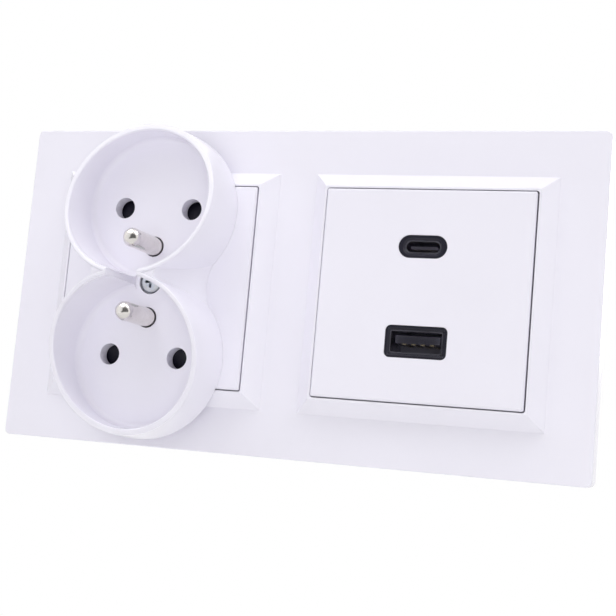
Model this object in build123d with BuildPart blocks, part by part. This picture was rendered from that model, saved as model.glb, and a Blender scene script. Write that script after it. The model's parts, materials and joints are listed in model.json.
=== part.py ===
from build123d import *

import os
from math import atan2, degrees, radians, sqrt, tan

# Two-gang wall outlet: a double earthed socket and a two-port charger under one cover frame.
# Millimetres. +Z is up and the room is towards -Y. The wall is the plane y = 0, and a height is a
# distance from the wall towards the room, so that negative heights lie inside the wall box.

# Cover frame
GANG_PITCH = 71.0
FRAME_MARGIN = 11.55
FRAME_CORNER = 1.5
FRAME_EDGE = 0.3
FACE_HEIGHT = 9.0
FRAME_WALL = 2.0
SKIRT_WALL = 1.8
COLLAR_BEVEL = 3.7
COLLAR_RISE = 3.9
COLLAR_LAND = 0.5
LEDGE_WIDTH = 2.65
LEDGE_SKIRT = 1.2
RIB_THICKNESS = 1.2
RIB_SPREAD = 30.0
RIB_CLEARANCE = 1.0
# The loose frame hangs on the inserts, so its play lies below and to their right
FRAME_REST_X = 0.17
FRAME_REST_Z = -0.06

# Inserts that fill the two windows of the frame
INSERT_GAP = 0.25
INSERT_RISE = 4.1
INSERT_CORNER = 0.5
INSERT_EDGE = 0.4
BEVEL_ANGLE = 45.0
INSERT_WALL = 2.0
INSERT_RIM = 2.7

# Cups of the double socket
CUP_PITCH = 38.5
CUP_OVERLAP = 0.7
CUP_DRAFT = 1.2
WAIST_RIM_R = 2.5
WAIST_DROP = 0.6
WAIST_TUCK = 0.3
WAIST_FOOT_R = 12.5
CUP_WALL = 2.4
RIM_RISE = 18.8
RIM_SLOPE = 13.0
RIM_ROUND = 0.35
RIM_WIDTH = 0.9
RECESS_DRAFT = 0.3
RECESS_ROUND = 1.6
FLOOR_RISE = 6.4
FLOOR_WALL = 3.6
CONTACT_PITCH = 19.0
CONTACT_HOLE_R = 2.75
PIN_OFFSET = 10.0
PIN_R = 2.4
PIN_LENGTH = 14.6
PIN_NECK_R = 1.9
PIN_HOLE_GAP = 0.25
PIN_FLANGE_R = 3.4
PIN_FLANGE = 1.5
PIN_TAIL_R = 1.6
PIN_TIP_R = 2.1

# Screw that holds the double socket's cover
SCREW_SINK = 1.8
SCREW_POCKET_R = 3.15
SCREW_NOTCH_R = 4.3
SCREW_HEAD_R = 2.8
SCREW_HEAD = 1.8
SCREW_DOME = 0.5
SCREW_R = 1.5
SCREW_LENGTH = 12.0
SCREW_BOSS_R = 3.4
CROSS_LENGTH = 3.0
CROSS_WIDTH = 0.7
CROSS_DEPTH = 1.1

# Shutters behind the contact holes
SHUTTER_TRAVEL = 6.4
SHUTTER_COVER = 3.3
SHUTTER_BAR = 4.2
SHUTTER_PAD = 7.0
SHUTTER_GAP = 0.2
RAMP_DEPTH = 1.2
RAMP_START = 1.6
RAIL_WIDTH = 1.0
RAIL_LENGTH = 13.0
SPRING_WIDTH = 2.8
SPRING_WIRE = 0.4
SPRING_DEPTH = 1.6
SPRING_FOLDS = 6
STOP_WIDTH = 5.0
STOP_THICKNESS = 1.0
STOP_Z = 2.6

# Mechanisms that stand in the wall boxes
MECHANISM_MARGIN = 0.95
MECHANISM_GAP = 0.3
MECHANISM_SLIM = 2.8
MECHANISM_CORNER = 8.0
CHANNEL_DEPTH = 4.4
CHANNEL_HEIGHT = 13.0
BASE_FRONT = 8.0
BASE_DEPTH = 20.0
COVER_PLATE = 1.5
EAR_WIDTH = 14.0
EAR_REACH = 4.2
EAR_DEPTH = 4.0
FIT_GAP = 0.05
PLAY = 0.2

# Live parts of the double socket
SLEEVE_WALL = 0.6
SLEEVE_LENGTH = 13.0
SLEEVE_SLIT = 0.8
STRIP_DEPTH = 8.5
STRIP_THICKNESS = 1.0
STRIP_WIDTH = 6.0
TERMINAL_Z = -11.0
TERMINAL_SIZE = 6.0
TERMINAL_DEPTH = 5.0
TERMINAL_SCREW_R = 1.5
TERMINAL_HEAD_R = 2.4
TERMINAL_HEAD = 1.8
TERMINAL_BITE = 2.2
WIRE_R = 1.6
WIRE_ENTRY_R = 1.9
EARTH_HEIGHT = 2.0
EARTH_TERMINAL_Z = 15.5
BASE_BOSS_R = 2.6

# Steel mounting brackets
BRACKET_PARTING = 1.0
BRACKET_END = 5.0
BRACKET_CORNER = 10.0
BRACKET_SHEET = 1.2
BRACKET_GAP = 0.3
BOX_SCREW_OFFSET = 6.6
BOX_SLOT_R = 1.9
BOX_SLOT_LENGTH = 9.0
SIDE_SLOT_LENGTH = 6.4
BRACKET_SCREW_R = 1.3
BRACKET_SCREW_HEAD_R = 2.2
BRACKET_SCREW_LENGTH = 4.0

# Spreading claws at the sides of each bracket
CLAW_OFFSET = 2.0
CLAW_DEPTH = 2.6
CLAW_EYE_R = 2.0
CLAW_PIN_R = 1.0
CLAW_WIDTH = 8.0
CLAW_SHEET = 1.2
CLAW_LENGTH = 19.0
CLAW_FOOT = 3.0
CLAW_FOOT_DROP = 1.2
CLAW_TAB = 5.4
CLAW_TOOTH = 1.2
CLAW_TEETH = 3
TOOTH_ANGLE = 45.0
LUG_SHEET = 1.2
CLAW_ARM = 3.8
CLAW_SCREW_R = 1.5
CLAW_SCREW_HEAD_R = 2.3
CLAW_SCREW_HEAD = 1.6
CLAW_SCREW_TIP = 1.0

# Charger ports
PORT_X = -0.6
PORT_C_Z = 11.9
PORT_A_Z = -11.4
PORT_C_WIDTH = 12.0
PORT_C_HEIGHT = 5.6
PORT_A_WIDTH = 15.2
PORT_A_HEIGHT = 7.8
PORT_A_CORNER = 1.3
PORT_SINK = 0.15
PORT_DEPTH = 4.6
PORT_LEAD = 0.5
SHELL_C_WIDTH = 8.94
SHELL_C_HEIGHT = 3.26
SHELL_A_WIDTH = 13.1
SHELL_A_HEIGHT = 5.7
SHELL_A_CORNER = 0.6
SHELL_SHEET = 0.3
SHELL_SINK = 0.5
TONGUE_C_WIDTH = 6.7
TONGUE_C_HEIGHT = 0.7
TONGUE_C_ROUND = 0.25
TONGUE_C_SINK = 1.3
TONGUE_A_WIDTH = 11.1
TONGUE_A_HEIGHT = 1.9
TONGUE_A_RISE = 0.75
TONGUE_A_SINK = 1.6
PORT_BLOCK = 2.0
BLADE_WIDTH = 1.0
BLADE_PITCH = 2.3
BLADE_COUNT = 4
BLADE_THICKNESS = 0.25
BLADE_SINK = 0.8

# Charger module behind its cover
CARRIER_FRONT = 6.6
CARRIER_PLATE = 1.6
HOUSING_INSET = 2.2
HOUSING_WALL = 1.6
HOUSING_DEPTH = 24.0
BOARD_BACK = -1.0
BOARD_THICKNESS = 1.6
BOARD_GAP = 0.3
BOARD_CORNER = 5.0
POST_SIZE = 2.6
POST_INSET = 8.0
CLIP_WIDTH = 6.0
CLIP_SPREAD = 24.0
CLIP_SHEET = 0.9
CLIP_BARB = 0.8
CLIP_NOTCH = 1.5
CORE_WIDTH = 16.0
CORE_STACK = 7.0
CORE_DEPTH = 13.0
CORE_LIMB = 3.6
CORE_YOKE = 2.4
COIL_MARGIN = 0.4
COIL_ROUND = 1.2
CORE_Z = 8.0
CAPACITOR_R = 4.0
CAPACITOR_GAP = 1.5
CAPACITOR_PITCH = 10.0
CAPACITOR_Z = -7.0
CAPACITOR_COUNT = 2
CAPACITOR_ROUND = 0.6
BLOCK_WIDTH = 16.0
BLOCK_HEIGHT = 10.0
BLOCK_DEPTH = 9.5
BLOCK_ROW = 4.8
BLOCK_PROUD = 3.0
BLOCK_MARGIN = 1.6
BLOCK_PITCH = 7.6
VENT_Z = 8.0
VENT_PITCH = 3.2
VENT_COUNT = 4
VENT_LENGTH = 14.0
VENT_WIDTH = 1.4

# Heights and places that follow from the sizes above
socket_x = -GANG_PITCH / 2
usb_x = GANG_PITCH / 2
gang_centres = {"socket": socket_x, "usb": usb_x}
sleeve_r = PIN_R + SLEEVE_WALL
cavity_r = sleeve_r + PLAY
mechanism_height = CUP_PITCH + 2 * (cavity_r + MECHANISM_MARGIN)
mechanism_width = mechanism_height - MECHANISM_SLIM
throat_size = mechanism_height + 2 * MECHANISM_GAP
window_size = throat_size + 2 * LEDGE_WIDTH
insert_size = window_size - 2 * INSERT_GAP
collar_top = window_size + 2 * COLLAR_LAND
collar_size = collar_top + 2 * COLLAR_BEVEL
frame_height = collar_size + 2 * FRAME_MARGIN
frame_width = GANG_PITCH + frame_height
insert_face = FACE_HEIGHT + INSERT_RISE
floor_height = FACE_HEIGHT + FLOOR_RISE
floor_back = floor_height - FLOOR_WALL
cup_z = CUP_PITCH / 2
cup_rim_r = cup_z + CUP_OVERLAP
cup_foot_r = cup_rim_r + CUP_DRAFT
recess_mouth_r = cup_rim_r - RIM_WIDTH
recess_floor_r = recess_mouth_r - RECESS_DRAFT
contact_x = CONTACT_PITCH / 2
pin_z = cup_z - PIN_OFFSET
rim_fall = tan(radians(RIM_SLOPE))
peak_height = FACE_HEIGHT + RIM_RISE + rim_fall * cup_z
cup_reach = cup_z + cup_foot_r
end_height = peak_height - rim_fall * cup_reach
rim_top = peak_height + rim_fall * cup_foot_r
cup_taper = degrees(atan2(CUP_DRAFT, peak_height - insert_face))
recess_taper = degrees(atan2(RECESS_DRAFT, peak_height - floor_height))
wall_middle_r = (cup_foot_r + recess_floor_r) / 2
waist_top = peak_height - WAIST_DROP
hollow_size = insert_size - 2 * INSERT_RIM
screw_seat = floor_height - SCREW_SINK
plate_front = BASE_FRONT + COVER_PLATE
shutter_back = plate_front + SHUTTER_GAP / 2
shutter_front = floor_back - SHUTTER_GAP
ear_z = mechanism_height / 2 + EAR_REACH / 2
box_screw_z = mechanism_height / 2 + BOX_SCREW_OFFSET
bracket_height = 2 * (box_screw_z + BRACKET_END)
bracket_width = GANG_PITCH - BRACKET_PARTING
side_slot_x = bracket_width / 2 - BRACKET_END
claw_x = mechanism_width / 2 + CLAW_OFFSET
claw_screw_x = claw_x - CLAW_ARM
screw_end = screw_seat - SCREW_LENGTH
pin_seat = EARTH_HEIGHT + STRIP_THICKNESS
terminal_back = STRIP_DEPTH + TERMINAL_DEPTH
wire_y = STRIP_DEPTH + TERMINAL_DEPTH / 2
terminal_places = [(-contact_x, TERMINAL_Z), (contact_x, TERMINAL_Z), (0, EARTH_TERMINAL_Z)]
earth_width = 2 * PIN_FLANGE_R
earth_top = EARTH_TERMINAL_Z + TERMINAL_SIZE / 2
earth_length = earth_top + pin_z + PIN_FLANGE_R
earth_middle = earth_top - earth_length / 2
rail_x = contact_x + SHUTTER_PAD / 2 + SHUTTER_GAP + RAIL_WIDTH / 2
rail_z = cup_z - SHUTTER_TRAVEL / 2
spring_back = (plate_front + floor_back - SPRING_DEPTH) / 2
spring_start = STOP_Z + STOP_THICKNESS / 2 + SPRING_WIRE
spring_length = cup_z - SHUTTER_COVER - SPRING_WIRE - spring_start
lug_inner = CLAW_WIDTH / 2 + PLAY
port_front = insert_face - PORT_SINK
port_back = port_front - PORT_DEPTH
shell_front = port_front - SHELL_SINK
shell_c_inner = SHELL_C_WIDTH - 2 * SHELL_SHEET - 2 * FIT_GAP
tongue_a_front = shell_front - TONGUE_A_SINK
blade_z = PORT_A_Z + TONGUE_A_RISE - TONGUE_A_HEIGHT / 2 - BLADE_THICKNESS / 2
carrier_back = CARRIER_FRONT - CARRIER_PLATE
clip_z = mechanism_height / 2 - CLIP_NOTCH / 2
clip_end = carrier_back - CLIP_BARB - PLAY
board_front = BOARD_BACK + BOARD_THICKNESS
board_inset = HOUSING_INSET + HOUSING_WALL + BOARD_GAP
board_width = mechanism_width - 2 * (CHANNEL_DEPTH + board_inset)
board_height = mechanism_height - 2 * board_inset
core_window = (CORE_WIDTH - 3 * CORE_LIMB) / 2
coil_width = CORE_LIMB + 2 * (core_window - COIL_MARGIN)
block_back = -HOUSING_DEPTH - BLOCK_PROUD
capacitor_length = BOARD_BACK - CAPACITOR_GAP - block_back - BLOCK_DEPTH
block_z = BLOCK_HEIGHT / 2 + BLOCK_MARGIN + HOUSING_INSET + HOUSING_WALL - mechanism_height / 2

os.makedirs("parts", exist_ok=True)


def room_plane(height, x=0.0, z=0.0):
    """Plane that faces the room at a height above the wall, with local axes along X and Z."""
    return Plane(origin=(x, -height, z), x_dir=(1, 0, 0), z_dir=(0, -1, 0))


def back_plane(height, x, z):
    """Plane that faces away from the room, for what goes in from behind."""
    return Plane(origin=(x, -height, z), x_dir=(1, 0, 0), z_dir=(0, 1, 0))


def socket_plane(height, x=0.0, z=0.0):
    """Plane facing the room about the centre of the socket's gang."""
    return room_plane(height, socket_x + x, z)


def usb_plane(height, x=0.0, z=0.0):
    """Plane facing the room about the centre of the charger's gang."""
    return room_plane(height, usb_x + x, z)


def save(builder, label):
    """Labels a finished piece and writes it."""
    builder.part.label = label
    export_step(builder.part, f"parts/{label}.step")


def figure_eight(cup_r, waist_r):
    """Two cups joined by hollow waists, as a face of the sketch in hand."""
    reach = cup_r + waist_r
    waist_x = sqrt(reach**2 - cup_z**2)
    touch_x = waist_x * cup_r / reach
    touch_z = cup_z * waist_r / reach
    end_z = cup_z + cup_r
    side_x = waist_x - waist_r
    with BuildLine() as outline:
        ThreePointArc((touch_x, touch_z), (0, end_z), (-touch_x, touch_z))
        ThreePointArc((-touch_x, touch_z), (-side_x, 0), (-touch_x, -touch_z))
        ThreePointArc((-touch_x, -touch_z), (0, -end_z), (touch_x, -touch_z))
        ThreePointArc((touch_x, -touch_z), (side_x, 0), (touch_x, touch_z))
    make_face(outline.edges())


def mechanism_outline(inset=0.0):
    """Mechanism with a claw channel down each side, drawn in by the inset, in the sketch in hand."""
    Rectangle(mechanism_width - 2 * inset, mechanism_height - 2 * inset)
    chamfer(vertices(), MECHANISM_CORNER)
    with GridLocations(mechanism_width, 0, 2, 1):
        Rectangle(2 * (CHANNEL_DEPTH + inset), CHANNEL_HEIGHT + 2 * inset, mode=Mode.SUBTRACT)


def insert_plate(plane):
    """Square insert with a bevelled front edge, standing on the frame's ledge, in the part in hand."""
    with BuildSketch(plane) as outline:
        RectangleRounded(insert_size, insert_size, INSERT_CORNER)
    extrude(outline.sketch, amount=INSERT_RISE - INSERT_EDGE)
    with BuildSketch(plane.offset(INSERT_RISE - INSERT_EDGE)) as bevel:
        RectangleRounded(insert_size, insert_size, INSERT_CORNER)
    extrude(bevel.sketch, amount=INSERT_EDGE, taper=BEVEL_ANGLE)


def screw(plane, shank_r, shank, head_r, head):
    """Round-headed screw with a cross recess, its head on the plane and its shank behind it."""
    with BuildSketch(plane) as core:
        Circle(shank_r)
    extrude(core.sketch, amount=-shank)
    with BuildSketch(plane) as foot:
        Circle(head_r)
    extrude(foot.sketch, amount=head - SCREW_DOME)
    with BuildSketch(plane.offset(head - SCREW_DOME)) as crown:
        Circle(head_r)
    extrude(crown.sketch, amount=SCREW_DOME, taper=BEVEL_ANGLE)
    cross_recess(plane.offset(head))


def flat_screw(plane, shank_r, shank, head_r):
    """Countersunk screw with a cross recess, its head flush with the plane and its shank behind it."""
    with BuildSketch(plane) as core:
        Circle(shank_r)
    extrude(core.sketch, amount=-shank)
    countersink = Plane(origin=plane.origin, x_dir=plane.x_dir, z_dir=-plane.z_dir)
    with BuildSketch(countersink) as cone:
        Circle(head_r)
    extrude(cone.sketch, amount=head_r - shank_r, taper=BEVEL_ANGLE)
    cross_recess(plane)


def cross_recess(plane):
    """Cross-shaped driver recess sunk from the plane into the part in hand."""
    with BuildSketch(plane) as cross:
        Rectangle(CROSS_LENGTH, CROSS_WIDTH)
        Rectangle(CROSS_WIDTH, CROSS_LENGTH)
    extrude(cross.sketch, amount=-CROSS_DEPTH, mode=Mode.SUBTRACT)


# Cover frame: a moulded shell with a bevelled collar round each window and a ledge inside it
with BuildPart() as cover_frame:
    with BuildSketch(room_plane(0)):
        RectangleRounded(frame_width, frame_height, FRAME_CORNER)
    extrude(amount=FACE_HEIGHT)
    fillet(edges().group_by(Axis.Y)[0], FRAME_EDGE)
    collar_taper = degrees(atan2(COLLAR_BEVEL, COLLAR_RISE))
    for gang_x in gang_centres.values():
        with BuildSketch(room_plane(FACE_HEIGHT, gang_x)):
            Rectangle(collar_size, collar_size)
        extrude(amount=COLLAR_RISE, taper=collar_taper)
    with BuildSketch(room_plane(0)):
        Rectangle(frame_width - 2 * SKIRT_WALL, frame_height - 2 * SKIRT_WALL)
    extrude(amount=FACE_HEIGHT - FRAME_WALL, mode=Mode.SUBTRACT)
    for gang_x in gang_centres.values():
        with BuildSketch(room_plane(BRACKET_SHEET, gang_x)):
            Rectangle(throat_size + 2 * LEDGE_SKIRT, throat_size + 2 * LEDGE_SKIRT)
        extrude(amount=FACE_HEIGHT - FRAME_WALL - BRACKET_SHEET)
        with BuildSketch(room_plane(BRACKET_SHEET + RIB_CLEARANCE, gang_x)):
            with GridLocations(RIB_SPREAD, 0, 2, 1):
                Rectangle(RIB_THICKNESS, frame_height - SKIRT_WALL)
        extrude(amount=FACE_HEIGHT - FRAME_WALL - BRACKET_SHEET - RIB_CLEARANCE)
        with BuildSketch(room_plane(FACE_HEIGHT, gang_x)):
            RectangleRounded(window_size, window_size, INSERT_CORNER + INSERT_GAP)
        extrude(amount=COLLAR_RISE, mode=Mode.SUBTRACT)
        with BuildSketch(room_plane(0, gang_x)):
            Rectangle(throat_size, throat_size)
        extrude(amount=FACE_HEIGHT, mode=Mode.SUBTRACT)
cover_frame.part.move(Location((FRAME_REST_X, 0, FRAME_REST_Z)))
save(cover_frame, "cover_frame")

# Web that joins the two cups and flares out towards the insert
with BuildPart() as waist:
    with BuildSketch(socket_plane(insert_face)):
        figure_eight(cup_foot_r - WAIST_TUCK, WAIST_FOOT_R)
    with BuildSketch(socket_plane(waist_top)):
        figure_eight(cup_rim_r - WAIST_TUCK, WAIST_RIM_R)
    loft()
    with BuildSketch(Plane.YZ.offset(socket_x)):
        with BuildLine():
            Polyline(
                (-waist_top, 0),
                (-end_height, cup_reach),
                (-rim_top, cup_reach),
                (-rim_top, -cup_reach),
                (-end_height, -cup_reach),
                close=True,
            )
        make_face()
    extrude(amount=cup_foot_r, both=True, mode=Mode.SUBTRACT)
    for side in (-1, 1):
        with BuildSketch(socket_plane(insert_face, 0, side * cup_z)):
            Circle(wall_middle_r)
        extrude(amount=waist_top - insert_face, taper=cup_taper, mode=Mode.SUBTRACT)

# Double socket cover: insert and two cups with sloping rims, moulded in one
with BuildPart() as socket_cover:
    with BuildSketch(socket_plane(insert_face, 0, cup_z)):
        Circle(cup_foot_r)
    extrude(amount=rim_top - insert_face, taper=cup_taper)
    with BuildSketch(Plane.YZ.offset(socket_x)):
        with BuildLine():
            Polyline(
                (-rim_top, -cup_foot_r),
                (-end_height, cup_reach),
                (-rim_top, cup_reach),
                close=True,
            )
        make_face()
    extrude(amount=cup_foot_r, both=True, mode=Mode.SUBTRACT)
    with BuildSketch(socket_plane(floor_height, 0, cup_z)):
        Circle(recess_floor_r)
    extrude(amount=rim_top - floor_height, taper=-recess_taper, mode=Mode.SUBTRACT)
    floor_rim = edges().filter_by(GeomType.CIRCLE).filter_by_position(
        Axis.Y, -floor_height - FIT_GAP, -floor_height + FIT_GAP
    )
    fillet(floor_rim, RECESS_ROUND)
    slanted = faces().filter_by(GeomType.PLANE).filter_by(
        lambda face: face.normal_at().Y < 0 and face.normal_at().Z > rim_fall / 2
    )
    fillet(slanted.edges(), RIM_ROUND)
    split(bisect_by=Plane.XY, keep=Keep.TOP)
    mirror(about=Plane.XY)
    add(waist.part)
    insert_plate(socket_plane(FACE_HEIGHT))
    with BuildSketch(socket_plane(screw_seat)):
        Circle(SCREW_POCKET_R)
    extrude(amount=SCREW_SINK, mode=Mode.SUBTRACT)
    with BuildSketch(socket_plane(floor_height)):
        Circle(SCREW_NOTCH_R)
    extrude(amount=peak_height - floor_height, mode=Mode.SUBTRACT)
    with BuildSketch(socket_plane(FACE_HEIGHT)):
        Rectangle(hollow_size, hollow_size)
    extrude(amount=INSERT_RISE - INSERT_WALL, mode=Mode.SUBTRACT)
    with BuildSketch(socket_plane(FACE_HEIGHT)):
        figure_eight(cup_foot_r - CUP_WALL, WAIST_FOOT_R + CUP_WALL)
        Rectangle(hollow_size, hollow_size, mode=Mode.INTERSECT)
    extrude(amount=floor_back - FACE_HEIGHT, mode=Mode.SUBTRACT)
    with BuildSketch(socket_plane(plate_front)):
        Circle(SCREW_BOSS_R)
    extrude(amount=screw_seat - plate_front)
    with BuildSketch(socket_plane(FACE_HEIGHT)):
        with GridLocations(CONTACT_PITCH, 2 * cup_z, 2, 2):
            Circle(CONTACT_HOLE_R)
        with GridLocations(0, 2 * pin_z, 1, 2):
            Circle(PIN_R + PIN_HOLE_GAP)
        Circle(SCREW_R + PLAY)
    extrude(amount=FLOOR_RISE, mode=Mode.SUBTRACT)
save(socket_cover, "socket_cover")

with BuildPart() as cover_screw:
    screw(socket_plane(screw_seat), SCREW_R, SCREW_LENGTH, SCREW_HEAD_R, SCREW_HEAD)
save(cover_screw, "cover_screw")

# Plate that shuts the contacts in and guides the shutters
with BuildPart() as contact_cover:
    with BuildSketch(socket_plane(BASE_FRONT)):
        mechanism_outline(PLAY)
        with GridLocations(CONTACT_PITCH, 2 * cup_z, 2, 2):
            Circle(cavity_r, mode=Mode.SUBTRACT)
        with GridLocations(0, 2 * pin_z, 1, 2):
            Circle(PIN_R + PLAY, mode=Mode.SUBTRACT)
        Circle(SCREW_R + PLAY, mode=Mode.SUBTRACT)
    extrude(amount=COVER_PLATE)
    with BuildSketch(socket_plane(plate_front)):
        with GridLocations(2 * rail_x, 2 * rail_z, 2, 2):
            Rectangle(RAIL_WIDTH, RAIL_LENGTH)
        with GridLocations(CONTACT_PITCH, 2 * STOP_Z, 2, 2):
            Rectangle(STOP_WIDTH, STOP_THICKNESS)
    extrude(amount=shutter_front - plate_front)
save(contact_cover, "contact_cover")

# Shutters and their folded springs, one set for each cup, which slide towards the cover screw to open
for name, side in (("upper", 1), ("lower", -1)):
    with BuildPart() as shutter:
        with BuildSketch(socket_plane(shutter_back)):
            with Locations((0, side * (cup_z + SHUTTER_COVER - SHUTTER_BAR / 2))):
                Rectangle(CONTACT_PITCH + SHUTTER_PAD, SHUTTER_BAR)
            with Locations((contact_x, side * cup_z), (-contact_x, side * cup_z)):
                Rectangle(SHUTTER_PAD, 2 * SHUTTER_COVER)
        extrude(amount=shutter_front - shutter_back)
        with BuildSketch(Plane.YZ.offset(socket_x)):
            with BuildLine():
                Polyline(
                    (-shutter_front, side * (cup_z - RAMP_START)),
                    (-shutter_front, side * (cup_z + SHUTTER_COVER)),
                    (-shutter_front + RAMP_DEPTH, side * (cup_z + SHUTTER_COVER)),
                    close=True,
                )
            make_face()
        extrude(amount=contact_x + SHUTTER_PAD / 2, both=True, mode=Mode.SUBTRACT)
    save(shutter, f"{name}_shutter")

    with BuildPart() as springs:
        for spring_x in (-contact_x, contact_x):
            with BuildSketch(socket_plane(spring_back, spring_x)):
                with BuildLine():
                    Polyline(
                        [
                            (
                                (-1) ** fold * (SPRING_WIDTH - SPRING_WIRE) / 2,
                                side * (spring_start + fold * spring_length / SPRING_FOLDS),
                            )
                            for fold in range(SPRING_FOLDS + 1)
                        ]
                    )
                trace(line_width=SPRING_WIRE)
            extrude(amount=SPRING_DEPTH)
    save(springs, f"{name}_shutter_springs")

# Moulded base of the double socket, with cavities for the contacts and screw terminals at the back
with BuildPart() as socket_base:
    with BuildSketch(socket_plane(-BASE_DEPTH)):
        mechanism_outline()
    extrude(amount=BASE_FRONT + BASE_DEPTH)
    with BuildSketch(socket_plane(-EAR_DEPTH)):
        Rectangle(EAR_WIDTH, mechanism_height + 2 * EAR_REACH)
    extrude(amount=EAR_DEPTH)
    with BuildSketch(socket_plane(-STRIP_DEPTH)):
        with GridLocations(CONTACT_PITCH, 0, 2, 1):
            SlotOverall(CUP_PITCH + 2 * cavity_r, 2 * cavity_r, rotation=90)
    extrude(amount=BASE_FRONT + STRIP_DEPTH, mode=Mode.SUBTRACT)
    with BuildSketch(socket_plane(EARTH_HEIGHT, 0, earth_middle)):
        Rectangle(earth_width + 2 * PLAY, earth_length + 2 * PLAY)
    extrude(amount=BASE_FRONT - EARTH_HEIGHT, mode=Mode.SUBTRACT)
    with BuildSketch(socket_plane(-BASE_DEPTH)):
        with Locations(*terminal_places):
            Rectangle(TERMINAL_SIZE + 2 * PLAY, TERMINAL_SIZE + 2 * PLAY)
    extrude(amount=BASE_DEPTH - STRIP_DEPTH, mode=Mode.SUBTRACT)
    with BuildSketch(socket_plane(-STRIP_DEPTH, 0, EARTH_TERMINAL_Z)):
        Rectangle(TERMINAL_SIZE + 2 * PLAY, TERMINAL_SIZE + 2 * PLAY)
    extrude(amount=EARTH_HEIGHT + STRIP_DEPTH, mode=Mode.SUBTRACT)
    with BuildSketch(socket_plane(EARTH_HEIGHT)):
        Circle(BASE_BOSS_R)
    extrude(amount=BASE_FRONT - EARTH_HEIGHT)
    with BuildSketch(socket_plane(screw_end - PLAY)):
        Circle(SCREW_R + FIT_GAP)
    extrude(amount=BASE_FRONT - screw_end + PLAY, mode=Mode.SUBTRACT)
    with BuildSketch(socket_plane(-EAR_DEPTH)):
        with GridLocations(0, 2 * ear_z, 1, 2):
            Circle(BRACKET_SCREW_R + FIT_GAP)
    extrude(amount=EAR_DEPTH, mode=Mode.SUBTRACT)
    with BuildSketch(Plane.XY.offset(-mechanism_height / 2)):
        with Locations((socket_x - contact_x, wire_y), (socket_x + contact_x, wire_y)):
            Circle(WIRE_ENTRY_R)
    extrude(amount=mechanism_height / 2 + TERMINAL_Z, mode=Mode.SUBTRACT)
    with BuildSketch(Plane.XY.offset(EARTH_TERMINAL_Z)):
        with Locations((socket_x, wire_y)):
            Circle(WIRE_ENTRY_R)
    extrude(amount=mechanism_height / 2 - EARTH_TERMINAL_Z, mode=Mode.SUBTRACT)
save(socket_base, "socket_base")

# Brass contacts: a strip with a slit sleeve for each cup and a terminal block behind
for name, contact_side in (("line", -1), ("neutral", 1)):
    pole_x = contact_side * contact_x
    with BuildPart() as contact:
        with BuildSketch(socket_plane(-STRIP_DEPTH, pole_x)):
            SlotOverall(CUP_PITCH + STRIP_WIDTH, STRIP_WIDTH, rotation=90)
        extrude(amount=STRIP_THICKNESS)
        with BuildSketch(socket_plane(-STRIP_DEPTH, pole_x)):
            with GridLocations(0, 2 * cup_z, 1, 2):
                Circle(sleeve_r)
        extrude(amount=STRIP_THICKNESS + SLEEVE_LENGTH)
        with BuildSketch(socket_plane(-STRIP_DEPTH + STRIP_THICKNESS, pole_x)):
            with GridLocations(0, 2 * cup_z, 1, 2):
                Circle(PIN_R)
                Rectangle(2 * sleeve_r, SLEEVE_SLIT)
        extrude(amount=SLEEVE_LENGTH, mode=Mode.SUBTRACT)
        with BuildSketch(socket_plane(-terminal_back, pole_x, TERMINAL_Z)):
            Rectangle(TERMINAL_SIZE, TERMINAL_SIZE)
            Circle(TERMINAL_SCREW_R + FIT_GAP, mode=Mode.SUBTRACT)
        extrude(amount=TERMINAL_DEPTH)
        with BuildSketch(Plane.XY.offset(TERMINAL_Z - TERMINAL_SIZE / 2)):
            with Locations((socket_x + pole_x, wire_y)):
                Circle(WIRE_R)
        extrude(amount=TERMINAL_SIZE, mode=Mode.SUBTRACT)
    save(contact, f"{name}_contact")

# Earth strap that joins both pins and drops to its own terminal block
with BuildPart() as earth_strap:
    with BuildSketch(socket_plane(EARTH_HEIGHT)):
        with Locations((0, earth_middle)):
            Rectangle(earth_width, earth_length)
        with GridLocations(0, 2 * pin_z, 1, 2):
            Circle(PIN_TAIL_R + FIT_GAP, mode=Mode.SUBTRACT)
        Circle(BASE_BOSS_R + PLAY, mode=Mode.SUBTRACT)
    extrude(amount=STRIP_THICKNESS)
    with BuildSketch(socket_plane(-STRIP_DEPTH, 0, earth_top - STRIP_THICKNESS / 2)):
        Rectangle(TERMINAL_SIZE, STRIP_THICKNESS)
    extrude(amount=EARTH_HEIGHT + STRIP_DEPTH)
    with BuildSketch(socket_plane(-terminal_back, 0, EARTH_TERMINAL_Z)):
        Rectangle(TERMINAL_SIZE, TERMINAL_SIZE)
        Circle(TERMINAL_SCREW_R + FIT_GAP, mode=Mode.SUBTRACT)
    extrude(amount=TERMINAL_DEPTH)
    with BuildSketch(Plane.XY.offset(EARTH_TERMINAL_Z - TERMINAL_SIZE / 2)):
        with Locations((socket_x, wire_y)):
            Circle(WIRE_R)
    extrude(amount=TERMINAL_SIZE, mode=Mode.SUBTRACT)
save(earth_strap, "earth_strap")

# Earth pins, riveted into the strap and standing in the cups
for name, side in (("upper", 1), ("lower", -1)):
    with BuildPart() as earth_pin:
        with BuildSketch(socket_plane(EARTH_HEIGHT, 0, side * pin_z)):
            Circle(PIN_TAIL_R)
        extrude(amount=STRIP_THICKNESS)
        with BuildSketch(socket_plane(pin_seat, 0, side * pin_z)):
            Circle(PIN_FLANGE_R)
        extrude(amount=PIN_FLANGE)
        with BuildSketch(socket_plane(pin_seat, 0, side * pin_z)):
            Circle(PIN_NECK_R)
        extrude(amount=floor_height - pin_seat)
        with BuildSketch(socket_plane(floor_height, 0, side * pin_z)):
            Circle(PIN_R)
        extrude(amount=PIN_LENGTH)
        fillet(edges().group_by(Axis.Y)[0], PIN_TIP_R)
    save(earth_pin, f"{name}_earth_pin")

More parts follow.
